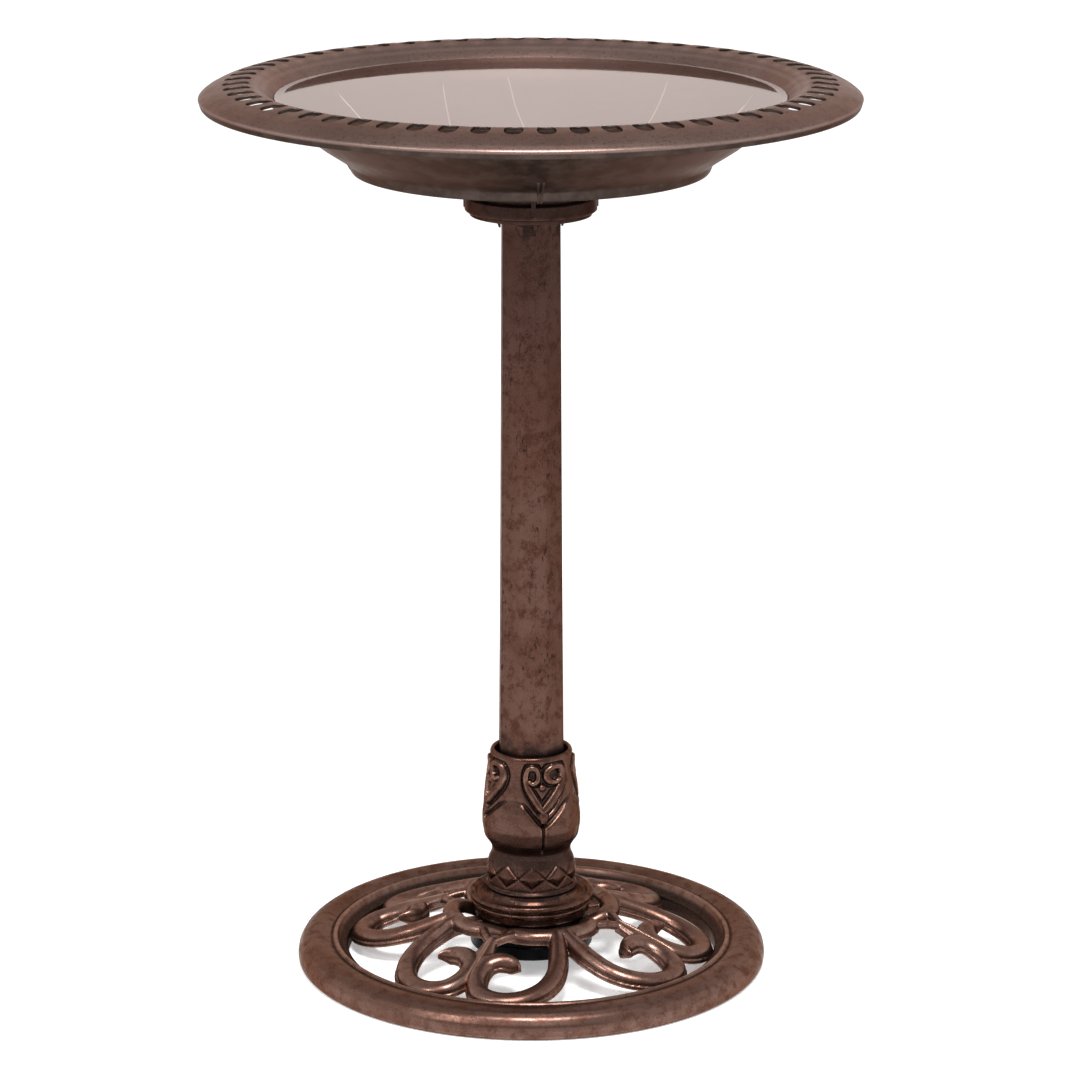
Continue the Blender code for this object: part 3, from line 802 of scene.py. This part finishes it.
def urn_relief(bearing, z):
    """Height of the cast ornament over the turned urn: facing volutes, V bands, petals and a diamond band."""
    turn = (bearing - URN_TURN + 35.5) % (360 / MOTIFS) - 35.5
    x = np.where(turn > 0, turn / 1.21, -turn / 0.79) * 0.593
    gap, along = distance_to(x, z, flowing(VOLUTE, 6))
    half = np.interp(along, [0, 0.08, 0.35, 0.6, 0.85, 1], [2.2, 3.3, 3.3, 2.7, 2.5, 2.0])
    band = 2.5 * pillow(gap, half)
    moat = -1.8 * np.exp(-(((gap - half - 0.9) / 1.5) ** 2)) * (gap > half)
    relief = np.where(gap < half, band, moat)
    eye = np.hypot(x - 9.8, z - 161.8)
    relief = np.where((gap > half) & (eye < 6), -1.9, relief)
    inside = (gap > half) & (x < np.interp(z, [133, 157], [0.5, 14])) & (z > 133) & (z < 168)
    relief = relief - 0.4 * inside * np.clip((gap - half) / 1.5, 0, 1)
    bead = np.hypot(x, z - 152.0)
    relief = np.where(bead < 3.3, np.maximum(relief, 3.4 * pillow(bead, 3.3) - 1.8), relief)
    drop = np.hypot(x, (z - 128.8) / np.where(z > 128.8, 1.35, 1.9))
    relief = np.where(drop < 3.7, np.maximum(relief, 3.2 * pillow(drop, 3.7) - 0.9), relief)
    gap, along = distance_to(x, z, flowing(PETAL, 6))
    cut = np.interp(along, [0, 0.55, 0.8, 1], [2.5, 2.1, 0.5, 0.0])
    relief = relief - cut * np.exp(-((gap / 1.6) ** 2)) * (relief < 0.8)
    edge = np.interp(x, [0, 10, 18, 30], [120.5, 130.6, 138.4, 141.4])
    below = np.clip((edge - z) / 3, 0, 1) * np.clip((z - 98) / 5, 0, 1)
    relief = relief + 1.0 * below * np.clip((24 - x) / 6, 0.3, 1)
    split = np.exp(-((x / 1.0) ** 2)) * np.clip((124 - z) / 2, 0, 1) * np.clip((z - 96) / 3, 0, 1)
    relief = relief - 2.6 * split
    return relief + diamond_band(bearing, z)


def diamond_band(bearing, z):
    """Pointed leaves above the flange, marked out by crossing engraved lines."""
    phase = ((bearing - 19) % 36) / 36
    share = 1 - np.abs(2 * phase - 1)
    high, low = 75.3 + 10.6 * share, 75.3 - 8.0 * share
    inside = (z > 66) & (z < 89)
    line = np.exp(-(((z - high) / 0.9) ** 2)) + np.exp(-(((z - low) / 0.9) ** 2))
    ridge = np.exp(-(((z - 75.3) / 3.4) ** 2)) * share
    upper = np.clip((high - z) / 3.5, 0, 1) * (z > 75.3)
    lower = np.clip((z - low) / 4.5, 0, 1) * (z <= 75.3)
    return inside * (0.9 * (upper + lower) + 0.5 * ridge - 0.8 * np.clip(line, 0, 1))


def make_urn(material):
    outline = [
        (28.7, 172.5),
        (28.9, 174.9),
        (30.4, URN_TOP),
        (32.0, 175.6),
        (32.9, 173.4),
        (32.5, 170.6),
        (32.6, 162),
        (33.7, 152),
        (35.0, 142),
        (37.2, 130),
        (38.3, 121),
        (38.3, 114),
        (36.8, 105),
        (34.0, 99),
        (31.6, 94.5),
        (31.6, 90.0),
        (33.0, 86.4),
        (34.4, 83.0),
        (34.9, 76.0),
        (35.0, 66.4),
        (34.8, 64.2),
        (35.6, 63.4),
        (36.6, 62.6),
        (36.4, 61.2),
        (35.6, 60.2),
        (36.2, 57.4),
        (38.2, 54.9),
        (41.4, 53.5),
        (43.8, 54.0),
        (45.0, 56.0),
        (47.0, 57.2),
        (49.2, 56.4),
        (50.2, 54.3),
        (49.6, 52.0),
        (47.6, 50.8),
        (46.5, 50.0),
        (47.9, 49.4),
        (48.2, 48.2),
        (47.8, 47.0),
        (46.6, 46.4),
        (46.2, URN_FOOT),
        (42.6, URN_FOOT),
    ]
    line = spaced(softened(outline, 2.2), 0.6)
    steps = 440
    bearing = 360 * np.arange(steps) / steps
    relief = urn_relief(bearing[None, :], line[:, 1:2] + 0 * bearing)
    ahead = np.gradient(line, axis=0)
    out = np.stack([-ahead[:, 1], ahead[:, 0]], 1) / np.linalg.norm(ahead, axis=1)[:, None]
    fade = np.clip((172.0 - line[:, 1]) / 1.5, 0, 1) * np.clip((line[:, 1] - 63.5) / 2, 0, 1)
    lift = relief * fade[:, None] * (line[:, :1] > 29.5)
    radius = line[:, :1] + lift * out[:, :1]
    height = line[:, 1:2] + lift * out[:, 1:2]
    seam = 0.25 * np.exp(-(((bearing + 20 + 180) % 360 - 180) / 0.8) ** 2)
    seam = seam * (line[:, 1:2] < 92) * (line[:, :1] > 30)
    shape = Patchwork()
    shape.add(plan(radius + seam, bearing[None, :] + 0 * height, height))
    inner = [(42.6, URN_FOOT), (42.4, 50), (32.6, 54.5), (31.0, 76), (28.2, 90), (32.6, 107)]
    inner += [(32.6, 112), (13, 112), (13, 116), (28.7, 116), (28.7, 172.5)]
    shape.add(turned(np.array(inner), steps))
    urn = show("urn_casting", shape.mesh("urn_casting"), material, "stand", ["urn"], 9, 0.55)
    darken_relief(urn.data)


def darken_relief(mesh):
    """Adds the urn's own ornament to its marked hollows, so that patina fills the ground behind it."""
    x, y, z = vertex_rows(mesh, "co").T / MM
    hollow = np.empty(len(z), np.float32)
    mesh.attributes["hollow"].data.foreach_get("value", hollow)
    shown = (np.hypot(x, y) > 28.5) & (z > 64) & (z < 172)
    raised = np.where(shown, urn_relief(np.degrees(np.arctan2(x, -y)), z), 0)
    hollow = 0.6 * hollow - 0.08 * np.clip(raised - 1.05, 0, 3) - 0.5 * np.clip(raised, -2, 0)
    store(mesh, "hollow", hollow)


# ---------------------------------------------------------------- base ring and scrollwork


def make_ring(material):
    outer, bore = RING_RADIUS, RING_BORE
    outline = [
        (bore + 6, 0),
        (outer - 2.6, 0),
        (outer - 0.5, 2.2),
        (outer, 6.6),
        (outer - 0.8, 11.4),
        (outer - 4.0, 16.8),
        (outer - 9.0, 20.3),
        (outer - 14.0, RING_CREST),
        (outer - 20, 21.2),
        (outer - 24.6, 19.6),
        (outer - 26.6, 18.5),
        (outer - 27.5, 18.5),
        (outer - 28.6, 20.0),
        (outer - 30.0, 20.6),
        (outer - 31.6, 20.0),
        (outer - 33.0, 17.6),
        (outer - 35.2, 15.0),
        (outer - 38.4, 13.6),
        (bore + 0.6, 12.6),
        (bore, 11.2),
        (bore, 1.6),
        (bore + 1.6, 0),
        (bore + 6, 0),
    ]
    line = spaced(softened(outline, 4.5), 1.0)
    shape = Patchwork()
    shape.add(turned(line, 480))
    mesh = shape.mesh("ring_casting")
    show("ring_casting", mesh, material, "stand", ["base_ring"], 7, 0.75)


def smooth_height(radius, radii, heights):
    """Reads a height from a table of radii, with the table's corners rounded off."""
    shifts = np.linspace(-7, 7, 15)
    return np.mean([np.interp(radius + shift, radii, heights) for shift in shifts], axis=0)


def crest(radius):
    """Height of the scrollwork's domed top."""
    radii = [46, 52, 60, 66, 72, 80, 100, 120, 150]
    return smooth_height(radius, radii, [37, 40, 44.6, 45.2, 43.6, 40.8, 33.4, 25.5, 15.2])


def underside(radius):
    """Height of the scrollwork's flat foot."""
    return smooth_height(radius, [52, 66, 80, 100, 120, 150], [27.4, 29, 26, 20, 12.4, 3.4])


def bar_rows(controls, per_span, crease=0.0, ledge=True, deepest=30.0, sunk=0.0):
    """Sections of a cast bar along a plan curve: flat foot, half-round body, and a parting ledge between."""
    path = [(*plan(r, bearing, 0.0)[:2], half) for r, bearing, half in controls]
    path = spaced(flowing(path, per_span), 1.6)
    ahead = np.gradient(path[:, :2], axis=0)
    ahead /= np.linalg.norm(ahead, axis=1, keepdims=True)
    body = 0.90 if ledge else 1.0
    lower = [(-0.97, 0), (0.97, 0)]
    if ledge:
        lower += [(1, 0.05), (1.02, 0.24), (0.98, 0.29), (0.84, 0.32), (0.86, 0.38)]
    round_top = [(body * math.cos(t), 0.42 + 0.58 * math.sin(t)) for t in np.radians(np.arange(0, 88, 12))]
    half_section = lower[1:] + round_top
    section = half_section + [(0, 1.0 - crease)] + [(-across, up) for across, up in reversed(half_section)]
    rows = []
    for (x, y, half), (dx, dy) in zip(path, ahead):
        radius = math.hypot(x, y)
        top = float(crest(radius)) - sunk
        foot = max(float(underside(radius)), top - 2.1 * half - 4.0, top - deepest)
        rows.append([(x - dy * half * s, y + dx * half * s, foot + (top - foot) * up) for s, up in section])
    return np.array(rows)


ARM = [
    (60, 2.6, 7.0),
    (72, 4.2, 7.4),
    (84, 6.2, 7.9),
    (99, 8.8, 8.3),
    (114, 12.6, 8.7),
    (127, 18.0, 9.1),
    (136.0, 24.8, 9.5),
    (138.0, 31.8, 9.7),
    (133.0, 38.0, 9.4),
    (122, 41.4, 9.0),
    (110, 42.6, 8.8),
    (100.5, 41.2, 9.1),
    (95.2, 36.8, 8.9),
    (95.4, 32.2, 7.4),
    (98.6, 28.4, 4.6),
    (104.2, 26.2, 1.9),
    (108.2, 26.0, 0.4),
]


def mirrored(controls):
    return [(radius, -bearing, half) for radius, bearing, half in controls]


def scroll_mesh():
    """A quarter of the scrollwork, fused as one casting: loop, two volute arms, half stems and a spoke."""
    shape = Patchwork()
    half_loop = [(46, 43, 5.6), (53, 38, 6.4), (60.2, 30.5, 7.0), (64.2, 18, 7.2)]
    loop = half_loop + [(65.2, 0, 7.2)] + mirrored(half_loop)[::-1]
    shape.add_closed(bar_rows(loop, 12, ledge=False, deepest=11.0))
    stay = [(61.5, 30.5, 3.6), (66.5, 35.0, 3.5), (72.5, 40.5, 3.6), (80, 46, 4.4)]
    stem = [(75, 45, 4.6), (82, 45, 6.2), (90, 45, 7.6), (98, 45, 7.4), (104, 45, 4.5)]
    for side in (list, mirrored):
        shape.add_closed(bar_rows(side(ARM), 12))
        shape.add_closed(bar_rows(side(stay), 8, ledge=False, deepest=6.5, sunk=2.2))
        shape.add_closed(bar_rows(side(stem), 8, crease=0.06, ledge=False, deepest=10.0, sunk=1.2))
    spoke = [(-6.5, -43), (6.5, -43), (6.5, -62.5), (-6.5, -62.5)]
    deck = [[(x, y, z) for x, y in spoke] for z in (CARRIER_FOOT + 3.9, 37.0)]
    shape.add_closed(np.array(deck))
    rough = bpy.data.objects.new("scroll", shape.mesh("scroll"))
    bpy.context.scene.collection.objects.link(rough)
    fuse = rough.modifiers.new("fuse", "REMESH")
    fuse.mode, fuse.voxel_size = "VOXEL", 0.75 * MM
    relax = rough.modifiers.new("relax", "SMOOTH")
    relax.factor, relax.iterations = 0.5, 5
    graph = bpy.context.evaluated_depsgraph_get()
    mesh = bpy.data.meshes.new_from_object(rough.evaluated_get(graph))
    bpy.data.objects.remove(rough)
    trim_quarter(mesh)
    return mesh


def trim_quarter(mesh):
    """Cuts the casting square on its two side planes, and fits it between the hub and the rim."""
    bm = bmesh.new()
    bm.from_mesh(mesh)
    for side in (-1, 1):
        out = Vector(plan(1.0, side * 135, 0.0))
        everything = bm.verts[:] + bm.edges[:] + bm.faces[:]
        cut = bmesh.ops.bisect_plane(
            bm, geom=everything, plane_co=out * -0.15 * MM, plane_no=out, clear_outer=True
        )
        edges = [e for e in cut["geom_cut"] if isinstance(e, bmesh.types.BMEdge)]
        bmesh.ops.triangle_fill(bm, edges=edges, use_beauty=True)
    low, high = (HUB_RADIUS + 0.3) * MM, (RING_BORE - 0.4) * MM
    for vert in bm.verts:
        radius = vert.co.xy.length
        wanted = min(max(radius, low), high)
        vert.co.x *= wanted / radius
        vert.co.y *= wanted / radius
    bmesh.ops.recalc_face_normals(bm, faces=bm.faces)
    bm.to_mesh(mesh)
    bm.free()


def make_scrolls(material):
    mesh = scroll_mesh()
    for quarter in range(4):
        name = f"scroll_casting_{quarter + 1}"
        panel = [f"scroll_panel_{quarter + 1}"]
        piece = show(name, mesh, material, "stand", panel, 9, 0.6)
        piece.parent = None
        piece.matrix_world = Matrix.Rotation(math.radians(BASE_TURN + 90 * quarter), 4, "Z")
        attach(piece, "stand")


# ---------------------------------------------------------------- hub and knob


def make_hub(material):
    outline = [
        (ROD_HOLE, CARRIER_FOOT),
        (CARRIER_FLANGE, CARRIER_FOOT),
        (CARRIER_FLANGE, 27.0),
        (HUB_RADIUS, 27.0),
        (HUB_RADIUS, CARRIER_TOP),
        (ROD_HOLE, CARRIER_TOP),
        (ROD_HOLE, CARRIER_FOOT),
    ]
    shape = Patchwork()
    shape.add(turned(softened(outline, 0.6), 160))
    show("hub_moulding", shape.mesh("hub_moulding"), material, "stand", ["base_carrier"])


def make_knob(material):
    """Plain round hand knob, with a shallow recess above for its washer and one below."""
    foot, top, rim = KNOB_FOOT, KNOB_TOP, KNOB_RADIUS
    outline = [
        (ROD_HOLE, foot + 1.0),
        (10, foot + 1.0),
        (12, foot),
        (rim - 1.4, foot),
        (rim, foot + 1.4),
        (rim, top - 1.0),
        (rim - 1.0, top),
        (12.3, top),
        (12.3, top - 2.0),
        (ROD_HOLE, top - 2.0),
        (ROD_HOLE, foot + 1.0),
    ]
    shape = Patchwork()
    shape.add(turned(softened(outline, 0.9), 200))
    mesh = shape.mesh("knob_moulding")
    show("knob_moulding", mesh, material, "clamp_knob", ["clamp_knob"])


def finish_hardware(steel, black):
    """Gives the plain CAD fittings their finishes."""
    screws = [f"panel_screw_{i}" for i in range(1, 5)]
    for name in ["tie_rod", "top_washer", "top_nut", "knob_washer"] + screws:
        repaint(name, steel)
    for name in ("column_top_bush", "column_foot_bush"):
        repaint(name, black)


def repaint(name, material):
    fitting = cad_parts[name]
    fitting.data.materials.clear()
    fitting.data.materials.append(material)


# ---------------------------------------------------------------- studio


FLOOR_REACH, FLOOR_GAP = 30.0, 0.0005


def make_studio():
    """White floor, a bright even surround, a soft box overhead and one to the left of the camera."""
    floor_mesh = bpy.data.meshes.new("floor")
    square = ((-1, -1), (1, -1), (1, 1), (-1, 1))
    corners = [(x * FLOOR_REACH, y * FLOOR_REACH, -FLOOR_GAP) for x, y in square]
    floor_mesh.from_pydata(corners, [], [(0, 1, 2, 3)])
    floor = bpy.data.objects.new("floor", floor_mesh)
    bpy.context.scene.collection.objects.link(floor)
    material, tree, shader = new_material("floor paint")
    shader.inputs["Base Color"].default_value = (0.86, 0.86, 0.86, 1.0)
    shader.inputs["Roughness"].default_value = 0.9
    shader.inputs["Emission Color"].default_value = (1, 1, 1, 1)
    shader.inputs["Emission Strength"].default_value = 0.35
    floor_mesh.materials.append(material)

    world = bpy.data.worlds.new("surround")
    world.use_nodes = True
    tree = world.node_tree
    sky = node(tree, "ShaderNodeTexCoord").outputs["Generated"]
    way = node(tree, "ShaderNodeSeparateXYZ", {0: sky}).outputs
    front = span(tree, way["Y"], -0.95, -0.25, 0.30, 1.0)
    glow = math_of(tree, "MULTIPLY", span(tree, way["Z"], 0.25, 0.90, 1.5, 0.65), front)
    tree.links.new(glow, tree.nodes["Background"].inputs["Strength"])
    tree.nodes["Background"].inputs["Color"].default_value = (1, 1, 1, 1)
    bpy.context.scene.world = world

    add_lamp("overhead box", (0.1, -1.38, 2.36), (0, 0, 0.4), 0.8, 82)
    add_lamp("left box", (-1.7, -1.9, 1.9), (0, 0, 0.3), 0.5, 24)


def add_lamp(name, place, target, size, power):
    lamp = bpy.data.lights.new(name, "AREA")
    lamp.size, lamp.energy = size, power
    holder = bpy.data.objects.new(name, lamp)
    holder.location = place
    holder.rotation_euler = (Vector(target) - Vector(place)).to_track_quat("-Z", "Y").to_euler()
    bpy.context.scene.collection.objects.link(holder)


def make_camera():
    lens = bpy.data.cameras.new("camera")
    lens.lens, lens.sensor_width = 138.3, 36.0
    lens.clip_start, lens.clip_end = 0.05, 100
    camera = bpy.data.objects.new("camera", lens)
    camera.location = (0.007, -3.15, 1.2025)
    camera.rotation_euler = (math.radians(74.8), 0, 0)
    bpy.context.scene.collection.objects.link(camera)
    bpy.context.scene.camera = camera
    bpy.context.scene.view_settings.view_transform = "Standard"


# ---------------------------------------------------------------- build

# Each bronze: brown, rosy brown and the colour rubbed through on its edges, then wear, gloss, and a darkening
# mask of stains and painted shade.
RUBBED = (0.36, 0.21, 0.155)
ring_bronze = bronze_paint(
    "ring bronze", (0.086, 0.043, 0.033), (0.112, 0.063, 0.051), RUBBED, 0.6, 0.31, ring_ledge_darkening
)
scroll_bronze = bronze_paint(
    "scroll bronze", (0.120, 0.062, 0.048), (0.155, 0.090, 0.073), (0.40, 0.24, 0.18), 0.6, 0.30
)
shaft = bronze_paint(
    "shaft bronze", (0.062, 0.028, 0.0205), (0.078, 0.041, 0.032), (0.20, 0.10, 0.07), 0.4, 0.36, column_stain_and_shade
)
urn_bronze = bronze_paint(
    "urn bronze", (0.052, 0.0235, 0.0175), (0.068, 0.036, 0.028), (0.28, 0.155, 0.115), 0.7, 0.27, urn_neck_and_foot_darkening
)
# The collar's darker copy of the bronze is painted shade under the basin.
shaded_collar_bronze = bronze_paint(
    "shaded collar bronze", (0.020, 0.0105, 0.0085), (0.030, 0.016, 0.013), (0.12, 0.065, 0.048), 0.5, 0.36
)
make_basin(pale_resin())
make_water(water())
make_collar(shaded_collar_bronze)
make_column(shaft)
make_urn(urn_bronze)
make_ring(ring_bronze)
make_scrolls(scroll_bronze)
matt_black = plastic("black plastic", (0.0008, 0.0008, 0.0008), (0.002, 0.0018, 0.0018), 0.5)
make_hub(matt_black)
make_knob(plastic("gloss black plastic", (0.0010, 0.0010, 0.0012), (0.003, 0.0028, 0.0026), 0.24))
finish_hardware(zinc(), matt_black)
make_studio()
make_camera()
